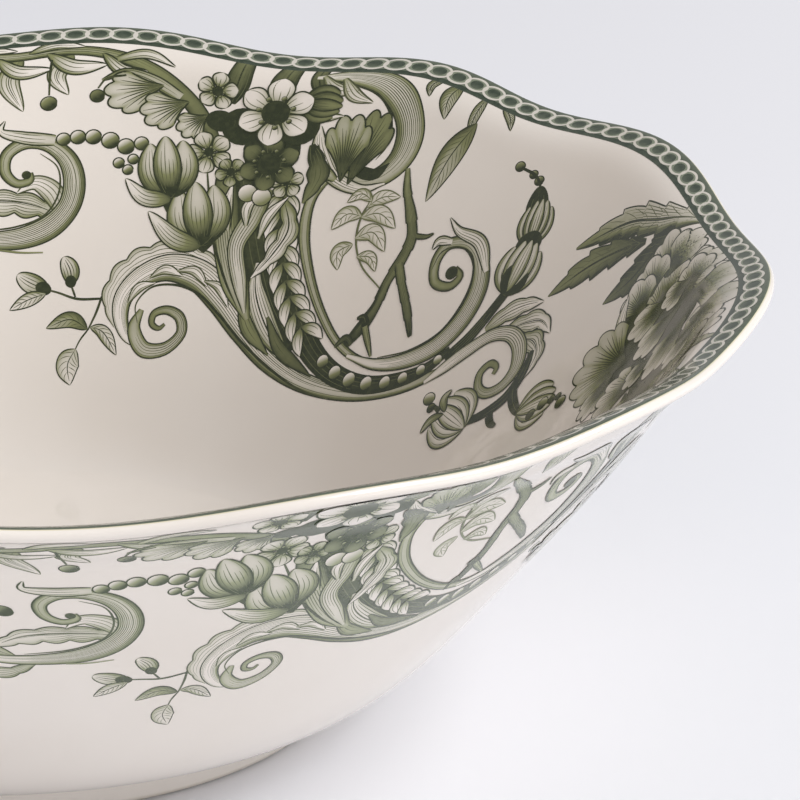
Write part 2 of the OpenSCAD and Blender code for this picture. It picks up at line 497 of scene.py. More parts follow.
def body(spine, wide, wide2=None, shade=(0.25, 0.3, 0.3, 0.2, 0), edge=0.2, teeth=None, grain=0,
         ribs=0, mid=0, slant=0.14, ink=1.0):
    """A shape drawn along a line: its half-widths to the left and right, its tones, its outline.

    The shade is the base tone and what the left edge, right edge, start and end add to it."""
    c = smooth(spine)
    run = length_along(c)
    n = len(c) + 4
    short = run[-1] < 14
    u = 0.5 - 0.5 * np.cos(np.pi * np.arange(n + 1) / n) if short else np.linspace(0, 1, n + 1)
    t = direction(c)
    share = run / run[-1]

    def bite(v):
        if teeth is None:
            return 1.0
        count, depth, saw = teeth
        wave = 1 - (count * v) % 1 if saw else 1 - np.abs(np.sin(np.pi * count * v))
        return 1 - depth * wave

    def put(v, w):
        v, w = np.broadcast_arrays(np.asarray(v, float), np.asarray(w, float))
        px, py = np.interp(v, share, c[:, 0]), np.interp(v, share, c[:, 1])
        nx, ny = np.interp(v, share, t[:, 1]), -np.interp(v, share, t[:, 0])
        other = wide if wide2 is None else wide2
        half = np.where(w > 0, spread(wide, v), spread(other, v)) * bite(v)
        return np.stack([px + nx * w * half, py + ny * w * half], axis=-1)

    across = int(max(3, np.ceil(2 * np.max(spread(wide, u)) / 0.7))) + 1
    uu, ww = np.meshgrid(u, np.linspace(-1, 1, across), indexing="ij")
    points = put(uu, ww)
    layer = settle(points)
    base, at_left, at_right, at_start, at_end = shade
    paint(points, base + at_left * np.maximum(ww, 0) ** 3 + at_right * np.maximum(-ww, 0) ** 3
          + at_start * (1 - uu) ** 2.5 + at_end * uu ** 2, layer)
    over = layer + 0.5
    if edge:
        rim = np.linspace(0, 1, 2 * n)
        for w_side in (1, -1):
            stroke(put(rim, w_side * 0.97), edge * 1.35, ink, over, ends=0.08)
    if mid:
        v = np.linspace(0.03, 0.9, n)
        stroke(put(v, 0 * v), mid, ink, over, ends=0.3)
    for i in range(grain):
        w_i = -0.85 + 1.7 * (i + 0.5) / grain
        v = np.linspace(0.02 + 0.2 * dice.random(), 0.55 + 0.42 * dice.random(), max(6, n * 2 // 3))
        stroke(put(v, w_i), fine_width, fine_tone * ink, over, ends=0.5)
    for i in range(ribs):
        for w_side in (1, -1):
            v0 = 0.04 + (0.9 - slant) * (i + 0.3) / ribs
            f = np.linspace(0, 1, 7)
            rib = put(v0 + slant * f * (0.7 + 0.3 * f), w_side * (0.06 + 0.8 * f))
            stroke(rib, fine_width, fine_tone * ink, over, ends=0.6)


def disc(centre, r, light=0.1, dark=0.7, edge=0.2, squash=1.0):
    """A round berry or bead, lit from the upper left."""
    turn_at = np.linspace(0, 2 * np.pi, 19)
    out = np.array([0, 0.5, 0.8, 1.0])[:, None]
    dx, dy = out * r * np.cos(turn_at), out * r * squash * np.sin(turn_at)
    points = np.stack([centre[0] + dx, centre[1] + dy], axis=-1)
    layer = settle(points)
    lean = np.clip((np.cos(turn_at) * 0.6 + np.sin(turn_at) * 0.8) * out * 0.6 + 0.45, 0, 1)
    paint(points, light + (dark - light) * lean, layer)
    stroke(points[-1], edge, 1.0, layer + 0.5, ends=0.02)


def fan(base, tip, half_angle, scallops, shade=(0.0, 1.25, 0.12), ribs=21):
    """A ruffled petal: a fan with a scalloped edge; the shade is base, heart and rim."""
    edge, notch, shoulder = 0.3, 0.12, 0.8
    base, tip = np.ravel(base), np.ravel(tip)
    length = np.linalg.norm(tip - base)
    faces_to = np.arctan2(*(tip - base)[::-1])
    half_angle = np.radians(half_angle)

    def put(out, f):
        far = length * (np.cos(f * np.pi / 2 * shoulder) * 0.45 + 0.55)
        far = far * (1 - notch * (1 - np.abs(np.sin(np.pi * scallops * (f + 1) / 2)) ** 0.7))
        spin = faces_to + half_angle * f * (0.55 + 0.45 * out)
        dx, dy = far * out * np.cos(spin), far * out * np.sin(spin)
        return np.stack([base[0] + dx, base[1] + dy], axis=-1)

    f = np.linspace(-1, 1, max(13, int(length * half_angle * 3) + scallops * 3))
    out = np.linspace(0.04, 1, max(5, int(length / 0.8) + 2))
    oo, ff = np.meshgrid(out, f, indexing="ij")
    points = put(oo, ff)
    layer = settle(points)
    over = layer + 0.5
    folds = (1 - np.abs(np.sin(np.pi * scallops * (ff + 1) / 2))) ** 2
    paint(points, shade[0] + shade[1] * (1 - oo) ** 1.3 + shade[2] * oo ** 5
          + 0.25 * folds * (1 - 0.5 * oo) + 0.12 * np.abs(ff) ** 3, layer)
    fine = np.linspace(-1, 1, 3 * len(f))
    stroke(put(1 + 0 * fine, fine), edge, 1.0, over, ends=0.03)
    for side in (-1, 1):
        v = np.linspace(0.05, 1, 12)
        stroke(put(v, side + 0 * v), edge, 1.0, over, ends=0.1)
    for i in range(ribs):
        v = np.linspace(0.06 + 0.12 * dice.random(), 0.72 + 0.24 * dice.random(), 9)
        stroke(put(v, -0.92 + 1.84 * (i + 0.5) / ribs + 0 * v), 0.24, 1.0, over, ends=0.6)


def leaf(spine, width, dark=0.3, light=0.1, ribs=5, ink=1.0, teeth=None):
    """A leaf with a midrib, darker on its right half."""
    body(spine, oval(width, 0.85, 0.9), shade=(light, 0.05, dark, dark * 0.6, 0), edge=0.18,
         mid=0.2, ribs=ribs, ink=ink, teeth=teeth, slant=0.2)


def cup(base, tip, width, dark=0.6, petals=(-1, 1, -0.45, 0.45, 0), light=0.1, grain=4, fat=0.62):
    """A tulip or bell flower seen from the side, its petals springing from a dark base."""
    base, tip = np.ravel(base), np.ravel(tip)
    d = tip - base
    side = np.array([d[1], -d[0]])
    side = side / np.linalg.norm(side)
    for off in petals:
        reach = 1 - 0.16 * abs(off) ** 2
        spine = [base, base + d * 0.42 * reach + side * off * width * 0.95,
                 base + d * reach + side * off * width]
        body(spine, oval(width * fat * (1 if off else 0.85), 1.0, 0.62),
             shade=(light * 0.5, 0.5, 0.5, dark, 0.2), grain=grain)


def blossom(centre, r, count, turned=0.0, light=0.1, dark=0.35, heart=0.28):
    """An open flower: round petals about a dark heart with a ring of stamens."""
    centre, stamens = np.ravel(centre), 7
    for i in range(count):
        a = turned + 2 * np.pi * i / count
        d = np.array([np.cos(a), np.sin(a)])
        body([centre + d * r * 0.15, centre + d * r * 0.6, centre + d * r],
             oval(r * 2.1 / count, 1.5, 0.6), shade=(light, 0.15, 0.2, dark, 0.05), grain=3)
    disc(centre, r * heart, 0.75, 1.0)
    for i in range(stamens):
        a = 2 * np.pi * i / stamens + turned
        place = centre + r * heart * 1.25 * np.array([np.cos(a), np.sin(a)])
        disc(place, r * 0.07, 0.3, 0.9, edge=0.1)


def stem(spine, width=0.5, tone=0.7):
    """A stalk, dark on its lower side."""
    body(spine, [width * 0.5, width * 0.6, width * 0.5, width * 0.4],
         shade=(tone, 0, 0.2, 0.1, 0), edge=0)


# foliage that fills the left of the scroll, half hidden by it
body(at(-12.6,40.6, -17.4,36.6, -19.8,30, -19.4,22.6, -16.6,16.4), [0.6, 3.0, 3.4, 2.6, 0.2],
     [0.6, 2.4, 2.2, 1.6, 0.2], shade=(0.12, 0.3, 0.2, 0.3, 0.1), grain=7, teeth=(6, 0.3, False),
     mid=0.3)
body(at(-13,39.6, -15.8,34.6, -15.6,29.6, -13.2,25.6), [0.5, 2.2, 1.8, 0.2],
     shade=(0.1, 0.3, 0.2, 0.3, 0.1), grain=5, teeth=(4, 0.3, False), mid=0.25)
body(at(-11.6,42, -15,44.4, -18.6,43.4, -20.6,39.4), [0.4, 1.7, 1.5, 0.2],
     shade=(0.1, 0.3, 0.2, 0.3, 0.1), grain=5, teeth=(4, 0.3, False))

# the frond under the rim, with its leaflets and berries
for p, w in ((at(-12,6.4, -12.8,10.5, -11,14.5), 1.6), (at(-6.6,6.4, -7.8,10.5, -6.4,16.4), 1.7),
             (at(-2,6.4, -3.4,10, -2.2,13.6), 1.5), (at(-9.4,6.4, -9.8,9, -8.8,11.6), 1.1)):
    body(p, oval(w, 0.8, 0.8), shade=(0.06, 0.2, 0.25, 0.5, 0), grain=4, mid=0.16, ink=0.9)
body(at(-16,7, -11,6, -7,6.2, -2,5.6, 2,6.6, 6,9, 9,12.5, 11.5,17, 13,21),
     [0.4, 0.7, 0.8, 0.9, 1.1, 1.4, 0.9], shade=(0.3, 0.2, 0.5, 0, 0.3), grain=4)
for p, w in ((at(-14,6.4, -12,8.8, -8.6,9), 1.3), (at(-9,6.2, -7,9, -3.8,8.8), 1.2),
             (at(-4.4,6, -2,8.6, 1.2,8.2), 1.3), (at(0.6,6.2, 2.6,9, 5,8.8), 1.0),
             (at(-12,6, -9.6,4.6, -7,5), 0.9), (at(-6,5.8, -3.6,4.4, -1,4.9), 0.9)):
    body(p, oval(w, 0.9, 0.8), shade=(0.02, 0.2, 0.5, 0.5, 0), grain=3)
body(at(8.4,12.6, 5.6,10.4, 2.8,9.4, 0.8,10.9), [0.9, 1.1, 0.8, 0.2],
     shade=(0.25, 0.5, 0.1, 0, 0.2), grain=3)
fan(at(6.8,10.8), at(1.2,14.2), 36, 4, shade=(0.0, 0.6, 0.3), ribs=9)
fan(at(9.4,13), at(4.9,17.2), 38, 4, shade=(0.0, 0.6, 0.3), ribs=9)
fan(at(11.4,14.8), at(8.8,19.2), 40, 4, shade=(0.0, 0.6, 0.3), ribs=9)
body(at(2,7.2, 4.6,5.8, 7.4,7.4), [0.5, 0.9, 0.1], shade=(0.1, 0.3, 0.2, 0.3, 0), grain=2)
stem(at(-3.9,7.2, -4,10, -4,13.6), 0.35)
disc(at(-4,15.1)[0], 1.3, 0.35, 0.95)
stem(at(3,9.8, 1.2,10.6, 0.5,12.4), 0.35)
disc(at(0.5,13.8)[0], 1.15, 0.5, 0.95)
disc(at(-14.6,13)[0], 1.2, 0.5, 0.95)
stem(at(-14.4,7.6, -14.6,12), 0.3)

# the left C-scroll with its leafy hollow
body(at(-1.8,36.4, -4.4,34.4, -7.6,33.3, -11,33.6, -14.6,36.4), [0.6, 2.6, 3.0, 2.4, 0.3],
     [0.6, 2.0, 2.2, 1.8, 0.3], shade=(0.06, 0.3, 0.25, 0.3, 0.1), grain=8, teeth=(5, 0.3, False),
     mid=0.22)
body(at(-2.2,35.6, -3.2,31.6, -5,29.9, -6.8,31.8), [0.8, 1.9, 1.4, 0.1],
     shade=(0.05, 0.3, 0.3, 0.3, 0), grain=4, ink=0.9)
body(at(-18.5,37.5, -15,40, -10.5,40.8, -6,40.2, -3,37.8, -1.3,34, -1,29.5, -1.9,25.4, -4,22.6,
        -6.2,22.4, -7.9,24.6, -8,28, -6.8,30, -5.5,29.4, -5.6,28),
     [0.3, 1.2, 1.5, 1.9, 2.2, 2.0, 1.8, 1.4, 1.1, 0.9, 0.6], shade=(0.1, 0.25, 0.8, 0, 0.3),
     grain=11)
stroke(smooth(at(-12,38.9, -7,38.2, -3.8,35.8, -2.5,31.6, -2.8,27, -4.6,24.4)), 0.34, 0.95)
disc(at(-5.9,28.4)[0], 0.8, 0.7, 0.95, edge=0)
body(at(-3.2,22, -6.4,21.3, -8.5,19.9, -8.1,18), [1.0, 1.2, 0.9, 0.1],
     shade=(0.1, 0.3, 0.3, 0.1, 0), grain=3)
disc(at(-11.3,26)[0], 1.5, 0.5, 1)
stem(at(-8.6,42.6, -6.2,43, -3.8,42.9), 0.35, 0.4)

# the string of beads
for a, s, r in ((-2.4, 21.8, 1.15), (-1.0, 21.4, 1.25), (0.5, 21.3, 1.3), (2.2, 21.8, 1.45),
                (3.8, 22.7, 1.4), (5.3, 21.9, 1.2), (3.3, 25.8, 0.95), (4.3, 26.9, 0.9),
                (4.7, 24.9, 0.9)):
    disc(at(a, s)[0], r, 0.1, 0.9, edge=0.24)

# the bud twig under the volute
stem(at(3.4,51, 0.5,51.3, -1.8,50.3, -3.2,49.8), 0.42)
stem(at(3.4,50.6, 3,53.6, 2.3,56.8), 0.42)
stem(at(2.3,56.8, 1.4,59, 0.9,61), 0.3)
stem(at(0.3,51, -0.2,49.3, -0.5,48.4), 0.35)
for p, w in ((at(-3,49.9, -5,48.7, -6.6,47.2), 1.9), (at(-0.3,48.6, -0.6,46, -1.5,43.6), 1.7)):
    body(p, oval(w, 0.95, 0.5), shade=(0.12, 0.15, 0.4, 0.5, 0), grain=5, mid=0.2)
body(at(-2.6,50.1, -3.6,49.6, -4.4,49), oval(1.2, 1, 0.7), shade=(0.85, 0, 0, 0, 0))
body(at(-0.1,49.2, -0.4,48.2, -0.6,47), oval(1.0, 1, 0.7), shade=(0.8, 0, 0, 0, 0))
leaf(at(-3.2,50.6, -5.2,51.8, -7.4,53.8), 1.3, dark=0.35)
leaf(at(2.2,56.8, 0,55.2, -2.9,57), 1.5, dark=0.6, light=0.3)
leaf(at(2.5,56.4, 4,57, 6.3,61.2), 1.3, dark=0.4)
leaf(at(1,60.6, 0.2,63.6, 0.8,67.4), 2.5, dark=0.3)

# the great cradle sweep with its volute and leafy shoulder
body(at(5.6,56, 4.4,51, 5.6,46, 8.4,42.4, 12,41.1, 16,43.4, 20,48.4, 24,53),
     [0.5, 1.9, 2.6, 2.4, 2.0, 1.4, 0.6, 0.2], [1.5, 2, 2, 1], shade=(0.05, 0.3, 0.2, 0.1, 0.1),
     grain=5, teeth=(11, 0.32, False), ink=0.95)
body(at(9.6,59.4, 7.2,57.6, 6,54, 6,50.4, 7.6,46.6, 10.4,44.2, 14,44.8, 17.6,48.4, 21.4,53.2,
        26,57.6, 31,60, 36,60.4, 41,59.2, 45.5,56.4, 49.4,52.2, 52.2,47.4),
     [0.3, 1.6, 2.2, 2.9, 3.0, 2.6, 2.2, 1.8, 1.5, 1.3, 1.2, 0.5], shade=(0.05, 0.15, 0.95, 0, 0.3),
     grain=11)
for p in (at(6.6,51.5, 7.6,48.4, 9.4,47.2), at(8.6,46.4, 10.2,44.6, 12.4,45.4),
          at(11.6,44.6, 13.6,44.2, 15.6,46.8), at(15,45.8, 17,46.6, 18.8,50)):
    body(p, [0.1, 0.9, 0.1], shade=(0.02, 0.1, 0.4, 0.3, 0), grain=2, ink=0.9)
body(at(8.4,52.4, 7.9,56, 9.6,59.6, 12.4,59, 13.9,55.8, 13.2,53, 11.4,52, 10,53, 10,54.8, 11,55.5,
        11.6,54.6), [0.5, 1.3, 1.5, 1.3, 1.1, 1.0, 0.8, 0.6, 0.3], shade=(0.06, 0.3, 0.3, 0.3, 0.5),
     grain=5)
stroke(smooth(at(8.2,55, 7.6,51.6, 9,48.2, 11.6,47.2, 14.6,48.2, 18,51.6, 22,55.8, 27,59.4, 32,61.6,
                 37,61.8)), 0.5, 1.0)

# the dark ground and the long leaves under the garland
body(at(16,25, 18.2,32, 20.6,40, 24,48, 29,55), [1.6, 3.6, 4.2, 3.6, 0.6],
     shade=(0.72, 0.1, 0.1, 0, 0.1), grain=5, edge=0)
body(at(20.6,41, 21.4,46, 24.2,52, 29.5,58), [0.4, 2.2, 2.0, 0.2],
     shade=(0.04, 0.3, 0.45, 0.1, 0.3), grain=7, mid=0.3)
body(at(19.6,47, 22,53, 26,57.2), [0.3, 1.4, 0.1], shade=(0.35, 0.2, 0.35, 0.1, 0.2), grain=3)
body(at(24,50.4, 27,55.4, 33,59), [0.3, 1.3, 0.1], shade=(0.5, 0.2, 0.35, 0.1, 0.2), grain=3)

# the garland of husks and beads round the cartouche
body(at(20.8,27, 21.8,34, 24,42, 27.4,49, 31.5,54.6, 36,57.4, 41,57.4, 45.4,54.6, 48.6,50.6,
        50.2,46), [1.4, 2.8, 3.0, 2.6, 2.2, 1.9, 1.7, 1.4, 0.8], shade=(0.75, 0.2, 0.2, 0, 0),
     grain=4)
husk_line = smooth(at(21,27.5, 21.9,34, 24.1,42, 27.5,49, 31.6,54.4), 0.3)
for i in range(9):
    k = int(i * (len(husk_line) - 9) / 9)
    p, q = husk_line[k], husk_line[k + 8]
    d = (q - p) / np.linalg.norm(q - p)
    side = np.array([d[1], -d[0]])
    for s in (-1, 1):
        body([p, p + d * 2.4 + side * s * 1.9, p + d * 5.2 + side * s * 2.6], oval(1.2, 0.9, 0.8),
             shade=(0.02, 0.15, 0.2, 0.7, 0), grain=2)
for a, s, r in ((33.6,55.7,1.5), (36,57,1.6), (38.5,57.4,1.65), (41.2,57,1.6), (43.8,55.7,1.5),
                (46,53.8,1.35), (47.9,51.3,1.25), (49.4,48.5,1.2)):
    disc(at(a, s)[0], r * 0.88, 0.0, 0.75, edge=0.3)

# the cartouche ring, left and right, with the right spiral
body(at(25.2,23.5, 24.2,28, 24.8,34.5, 27.2,41.5, 30.6,47.6, 34.6,52, 39,53.6, 43.6,51.8),
     [0.7, 1.0, 0.9, 0.8, 0.7, 0.5], shade=(0.3, 0.45, 0.2, 0, 0), grain=2)
body(at(36.5,53.6, 41,53.4, 45,50.8, 48,46.4, 49.3,40.5, 48.9,34.5, 47,30, 44.3,27.9, 42,29.4,
        41.6,33, 42.9,36.4, 45.1,36, 45.6,33.8, 44.4,32.8),
     [0.4, 1.0, 1.5, 1.9, 2.1, 2.0, 1.6, 1.2, 1.0, 0.9, 0.6], shade=(0.08, 0.4, 0.8, 0, 0.4),
     grain=9)
stroke(smooth(at(41.6,34.5, 41.7,31, 43.2,29.2, 45.4,29.5, 47.2,33, 47.9,38, 47.3,44, 44.6,49,
                 40.8,52.2)), 0.45, 1.0)
disc(at(44.3,33.8)[0], 1.3, 0.75, 1.0, edge=0)
body(at(48.6,31.4, 45.6,27, 42.4,26.4, 40.6,24.8), [0.6, 1.3, 1.1, 0.1],
     shade=(0.1, 0.2, 0.4, 0, 0), grain=4)
body(at(42.3,28.6, 40.7,29.4, 40.4,31.2), [0.6, 0.9, 0.1], shade=(0.1, 0.1, 0.4, 0, 0), grain=2)

# the trunk and its acanthus leaf
body(at(14.6,24, 15.2,31, 16.4,38, 18.6,45, 21.6,51.5), [2.0, 2.4, 2.6, 2.6, 0.6],
     shade=(0.16, 0.6, 0.2, 0.5, 0.2), grain=10)
body(at(19,27, 18.4,33, 17.6,38.5, 19.2,45, 21,50.5), [1.6, 1.9, 1.6, 1.4, 0.3],
     shade=(0.03, 0.35, 0.25, 0.4, 0.2), grain=6)
body(at(21.4,29, 22.8,34, 22,39, 20.4,44), [0.9, 2.2, 1.8, 0.2], [0.9, 1.8, 1.4, 0.2],
     shade=(0.05, 0.35, 0.3, 0.4, 0), grain=5, teeth=(4, 0.3, False), mid=0.3)
stroke(smooth(at(12.2,24, 13.4,31, 15,38.5, 17.6,45.5, 20,50)), 0.5, 1.0)
for p in (at(18,34.6, 17.6,31, 18.6,28), at(19.8,36.6, 20.2,32, 21.7,28),
          at(16.2,36, 15.4,31, 15.4,26.6)):
    body(p, [0.3, 1.0, 0.1], shade=(0.0, 0.2, 0.4, 0.3, 0), grain=2)

# leaves that climb from the flowers to the rim
for p, w in ((at(13.4,12, 13.6,7, 13.8,2), 1.9), (at(17.6,11, 18,6, 18.6,2), 2.0),
             (at(22,9, 21,5.5, 21.4,2), 1.2)):
    body(p, [0.5, w, w * 0.9, w * 0.6], shade=(0.55, 0.2, 0.4, 0.3, 0), grain=5, mid=0.25)

# the upper C-scroll and the acanthus in its hollow
body(at(20.8,5.6, 24,5.2, 27.6,6.3, 30.4,9.4, 31.9,13.6, 32,18, 30.7,21.8, 28.6,23.5, 26.4,22.6,
        26,20.6, 27.4,19.2), [0.4, 1.3, 2.0, 2.4, 2.5, 2.4, 2.0, 1.6, 1.1, 0.4],
     shade=(0.15, 0.35, 0.75, 0, 0.2), grain=12)
stroke(smooth(at(24,6.6, 27.4,8.4, 29.4,12, 30,16.4, 29.4,19.4)), 0.4, 1.0)
body(at(26.6,18.2, 27.4,21.2, 29.8,21.9, 31,19.4), [0.1, 0.9, 1.1, 0.1], shade=(0.95, 0, 0, 0, 0),
     edge=0)
body(at(22.6,14.5, 23.4,19, 25.8,23.6, 29,24.9, 31.4,23), [0.3, 1.6, 1.4, 1.0, 0.2],
     shade=(0.1, 0.25, 0.4, 0, 0), grain=5)
fan(at(27.4,25), at(28.4,10.6), 22, 4, shade=(0.25, 0.8, 0.25), ribs=13)
fan(at(26.6,24.6), at(25.4,11.8), 27, 4, shade=(0.1, 0.9, 0.25), ribs=13)
body(at(26,24, 23.6,21.6, 22.8,17.8), [0.6, 1.4, 0.2], shade=(0.1, 0.25, 0.4, 0.3, 0), grain=4,
     teeth=(3, 0.2, False))
for p in (at(21.4,5.2, 23,7.6, 25.4,8), at(23.4,5.6, 25,8.6, 27,9.6),
          at(22,9, 22.4,12.4, 24.6,12.4)):
    body(p, [0.3, 1.1, 0.1], shade=(0.08, 0.25, 0.3, 0.3, 0), grain=3, ink=0.9)

# the twig inside the cartouche
stem(at(31.2,24.5, 30.4,29, 30.9,33.6, 32.8,37.6, 36.4,40.6), 0.35, 0.55)
for p, w in ((at(30.6,27.6, 31.8,25.4, 33.8,24.4), 1.3), (at(30.4,29.6, 32.2,28.2, 34.8,29.8), 1.6),
             (at(30.4,29.4, 28.7,29.6, 27.6,32.8), 1.5), (at(30.7,33.4, 32.4,31.6, 34.8,34.2), 1.6),
             (at(30.7,34.4, 29.4,36.4, 30.2,39.5), 1.4), (at(30.9,26.4, 29.4,25.6, 28.2,27.6), 1.0),
             (at(31.8,36.4, 33.4,35.9, 34.8,38), 1.1)):
    leaf(p, w, dark=0.3, light=0.1, ribs=4, ink=0.75)

# the forked branch
body(at(33.2,19.4, 34.2,23, 35.8,26.6, 37.2,30.4, 37.3,34.4, 36.9,39, 37,44, 36.4,48.4, 35.6,52),
     [0.5, 0.8, 1.1, 1.1, 1.2, 1.0, 1.1, 1.4, 0.8], shade=(0.4, 0.3, 0.8, 0, 0.35), grain=7,
     teeth=(7, 0.2, True))
body(at(37.2,35.4, 38.8,38.6, 41.2,42.6, 43.6,46.8), [1.0, 0.9, 0.9, 0.4],
     shade=(0.4, 0.2, 0.8, 0.1, 0.4), grain=5, teeth=(4, 0.15, True))
body(at(36.6,47.2, 38,49.6, 39.8,52.4), [0.7, 0.6, 0.2], shade=(0.4, 0, 0.3, 0, 0), grain=2)
body(at(37,47.6, 36.2,46.2, 35.4,46.8), [0.8, 0.6, 0.2], shade=(0.8, 0, 0.2, 0, 0), grain=1)
body(at(37.6,30, 38.9,29.4, 39.6,28.4), [0.5, 0.4, 0.1], shade=(0.6, 0, 0.2, 0, 0), grain=1)
body(at(36.4,51.4, 35.2,50.6, 34.3,52.8), [0.5, 0.6, 0.2], shade=(0.7, 0, 0.2, 0, 0), grain=1)

# leaves that hang from the rim
for p, w, d in ((at(34.6,3, 34.2,6, 34.8,9.6), 1.5, 0.5), (at(37.6,3, 38,9, 38.4,11), 0.9, 0.2),
                (at(38.5,8, 37.2,15, 36.8,23.8), 2.2, 0.55), (at(39.6,3, 41.4,5, 42.4,7), 0.8, 0.2),
                (at(32.6,3, 31.8,5, 32.2,7), 0.8, 0.3)):
    leaf(p, w, dark=d, light=0.25, ribs=8)

# the flowers over the trunk
disc(at(18.5,20)[0], 4.9, 0.95, 1.0, edge=0)
disc(at(15,16)[0], 3.6, 0.9, 1.0, edge=0)
disc(at(20.6,15)[0], 3.4, 0.9, 1.0, edge=0)
body(at(22.4,18, 24,23.6, 23.4,29), [0.6, 2, 0.2], shade=(0.5, 0.2, 0.3, 0.4, 0), grain=4,
     teeth=(3, 0.25, False))
blossom(at(12.2,21.8), 4.0, 5, 0.4, light=0.1, dark=0.6, heart=0.2)
blossom(at(11.8,10.2), 3.4, 5, 1.0, light=0.1, dark=0.6, heart=0.25)
blossom(at(14.9,24.9), 2.8, 5, 0.2, light=0.25, dark=0.6, heart=0.25)
blossom(at(21,25.6), 3.0, 5, 0.7, light=0.15, dark=0.5, heart=0.2)
for a, s in ((17.2, 28.4), (18.8, 28.8)):
    disc(at(a, s)[0], 1.7, 0.05, 0.5)
blossom(at(18.6,22.4), 5.2, 6, 0.5, light=0.5, dark=0.8, heart=0.4)
disc(at(12.7,15.6)[0], 2.4, 0.95, 1.0, squash=0.8)
cup(at(20.4,10.4), at(24.2,10.6), 2.2, dark=0.9, light=0.6)
blossom(at(17.9,12.6), 6.4, 6, 0.52, light=0.0, dark=0.6, heart=0.36)

# the two tulips
body(at(14.6,39.6, 12,36.6, 9,32, 8,29), [1.4, 1.6, 1.2, 0.2], shade=(0.95, 0, 0, 0, 0), grain=0)
cup(at(13.7,39.4), at(11.6,27.6), 4.0, dark=1.15, petals=(0.8, -0.72, 0.08), fat=0.68, grain=6,
    light=0.04)
body(at(13.5,39.6, 10.4,38.6, 7.1,34.2), oval(1.9, 0.7, 0.7), shade=(0.08, 0.2, 0.3, 0.6, 0),
     grain=5)
cup(at(9.2,31.2), at(7.7,20), 3.6, dark=1.15, petals=(0.8, -0.72, 0.08), fat=0.68, grain=6,
    light=0.04)
body(at(9.2,31.6, 6.4,31.6, 4.2,28.6), oval(1.6, 0.7, 0.7), shade=(0.06, 0.1, 0.3, 0.6, 0), grain=4)

# the bell flowers on their stalk
body(at(50.6,48, 51.8,43, 52.4,38.6, 52.9,33), [1.4, 1.2, 1.0, 0.9], shade=(0.8, 0, 0.2, 0, 0.1),
     grain=4)
for a, s, r in ((45.6, 12.1, 0.95), (47.6, 12.8, 0.8), (48.6, 13.6, 0.9)):
    disc(at(a, s)[0], r, 0.35, 1.0)
stem(at(45.8,12.2, 48,13, 49.6,15.4), 0.5, 0.95)
body(at(50.8,21, 49.8,17, 49.1,14.4), oval(2.1, 0.8, 0.6), shade=(0.95, 0, 0, 0, 0), grain=3)
cup(at(51.9,25), at(50.3,16.4), 2.2, dark=0.5, light=0.1)
body(at(52.5,26.4, 51.6,24, 50.9,22.6), oval(2.6, 1, 0.5), shade=(0.95, 0, 0, 0, 0))
cup(at(52.9,33.6), at(52,23.6), 3.0, dark=0.5, light=0.04)
for s in (-1, 1):
    body([at(52.9,33.9)[0], at(52.9 + s * 1.2,31.6)[0], at(52.8 + s * 1.4,28.8)[0]], oval(0.8),
         shade=(0.9, 0, 0, 0, 0))

# the lower right S-scroll with its acanthus, buds and beads
body(at(53.4,40.4, 54.8,36.6, 56.6,33.8, 58.9,31.6), [0.6, 1.9, 1.7, 0.2],
     shade=(0.06, 0.3, 0.3, 0.3, 0), grain=5, teeth=(3, 0.2, False), mid=0.2)
body(at(56.4,39, 58.6,36, 60.6,34.4, 63.2,35), [0.8, 2.2, 1.9, 0.2], shade=(0.06, 0.3, 0.3, 0.3, 0),
     grain=6, teeth=(3, 0.25, False), mid=0.2)
body(at(59,39.6, 61.4,37.8, 63.6,39.2, 64.6,43.4), [0.8, 2.3, 1.8, 0.2],
     shade=(0.1, 0.3, 0.3, 0.3, 0), grain=6, teeth=(4, 0.25, False), mid=0.2)
body(at(62.6,39, 63.9,43.4, 64,48, 62.6,52, 60.4,55.4), [0.5, 1.1, 1.2, 1.0, 0.6],
     shade=(0.85, 0, 0.1, 0, 0), grain=2)
body(at(63.6,51.8, 65,52.6, 66.2,52.4), [0.8, 0.7, 0.3], shade=(0.9, 0, 0.1, 0, 0))
body(at(63.4,44, 64.8,46.6, 67.2,48, 69.6,48), [0.6, 1.0, 0.9, 0.4], shade=(0.9, 0, 0.1, 0, 0),
     grain=1)
body(at(49.6,53, 51,49.6, 52.8,45, 55,40.6, 57.6,38.9, 60.2,39.9, 62,43, 62,46.6, 60.4,49.2,
        58.4,49.2, 57.1,47, 57.6,44.8, 59,44.8, 59.2,46),
     [0.4, 1.2, 1.4, 1.3, 1.4, 1.6, 1.7, 1.4, 1.1, 0.9, 0.8, 0.5], shade=(0.08, 0.3, 0.3, 0, 0.4),
     grain=6)
cup(at(61,56), at(54.2,55.6), 3.7, dark=0.2, light=0.03)
stem(at(55,56, 53.4,55.6), 0.8)
for p in (at(56,56, 54.6,58, 54.4,60.8), at(56,55.6, 54.4,53.8, 54.6,51.8)):
    body(p, oval(0.9), shade=(0.3, 0.1, 0.3, 0.4, 0), grain=2)
disc(at(52,55)[0], 1.5, 0.15, 0.8, squash=0.8)
disc(at(53.3,56.2)[0], 0.9, 0.6, 1.0)
cup(at(68.4,48.4), at(72.6,41.6), 3.1, dark=0.3, light=0.1)
for a, s, r in ((71.6, 44, 1.3), (71, 46.8, 1.1), (72.6, 42.4, 0.9), (73.4, 41.2, 0.75),
                (74.7, 41.4, 1.3)):
    disc(at(a, s)[0], r, 0.6 if r < 1.3 else 0.25, 1.0)

